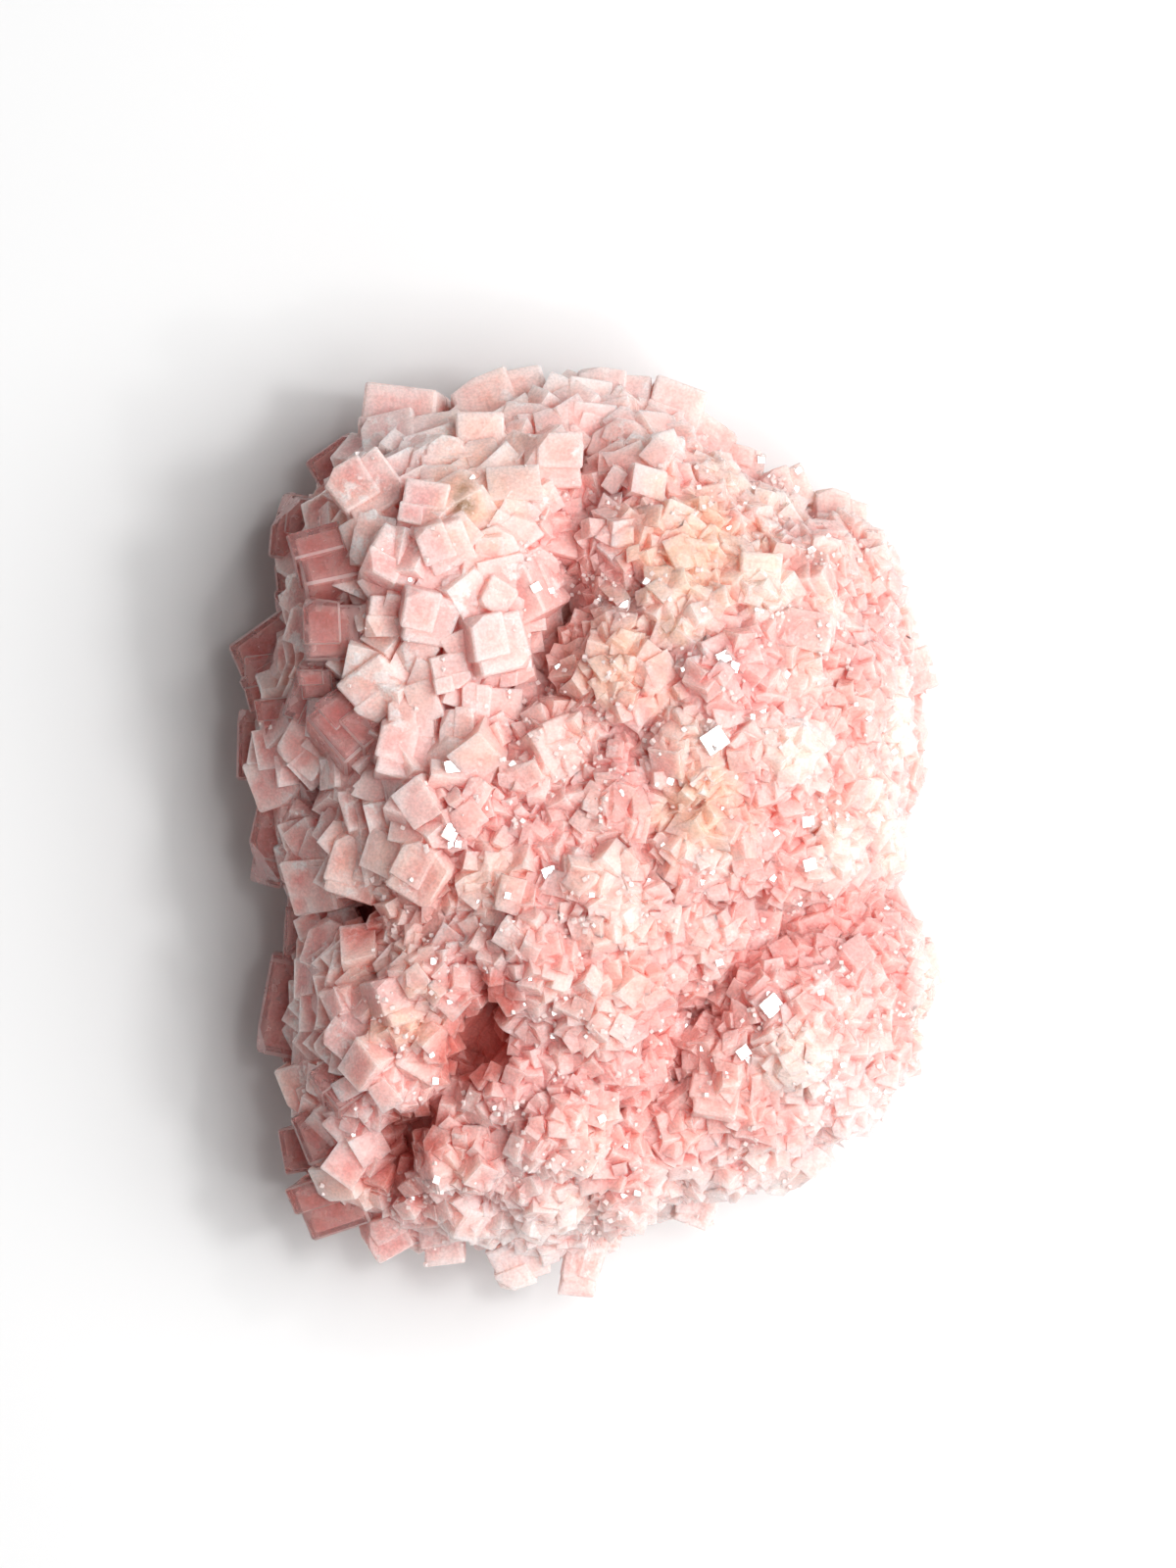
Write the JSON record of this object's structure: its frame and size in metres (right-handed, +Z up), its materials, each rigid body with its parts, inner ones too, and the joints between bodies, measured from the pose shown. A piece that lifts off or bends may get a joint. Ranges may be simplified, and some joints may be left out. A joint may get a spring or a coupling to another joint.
{
  "type": "halite crystal cluster",
  "caption": "Mound of intergrown pink salt cubes, coarse on one side and fine on the other, resting on a flat cut underside.",
  "frame": {"origin": "middle of the bounding box, on the plane of the flat underside", "axes": "+Z up, out of the crystal-covered side; +Y along the specimen's long way; +X towards its fine-grained side"},
  "size_m": [0.0844, 0.109, 0.0463],
  "materials": {
    "halite": "translucent pink halite, glassy to frosted cube faces"
  },
  "bodies": {
    "root": {"halite_cluster": "halite"}
  },
  "joints": []
}
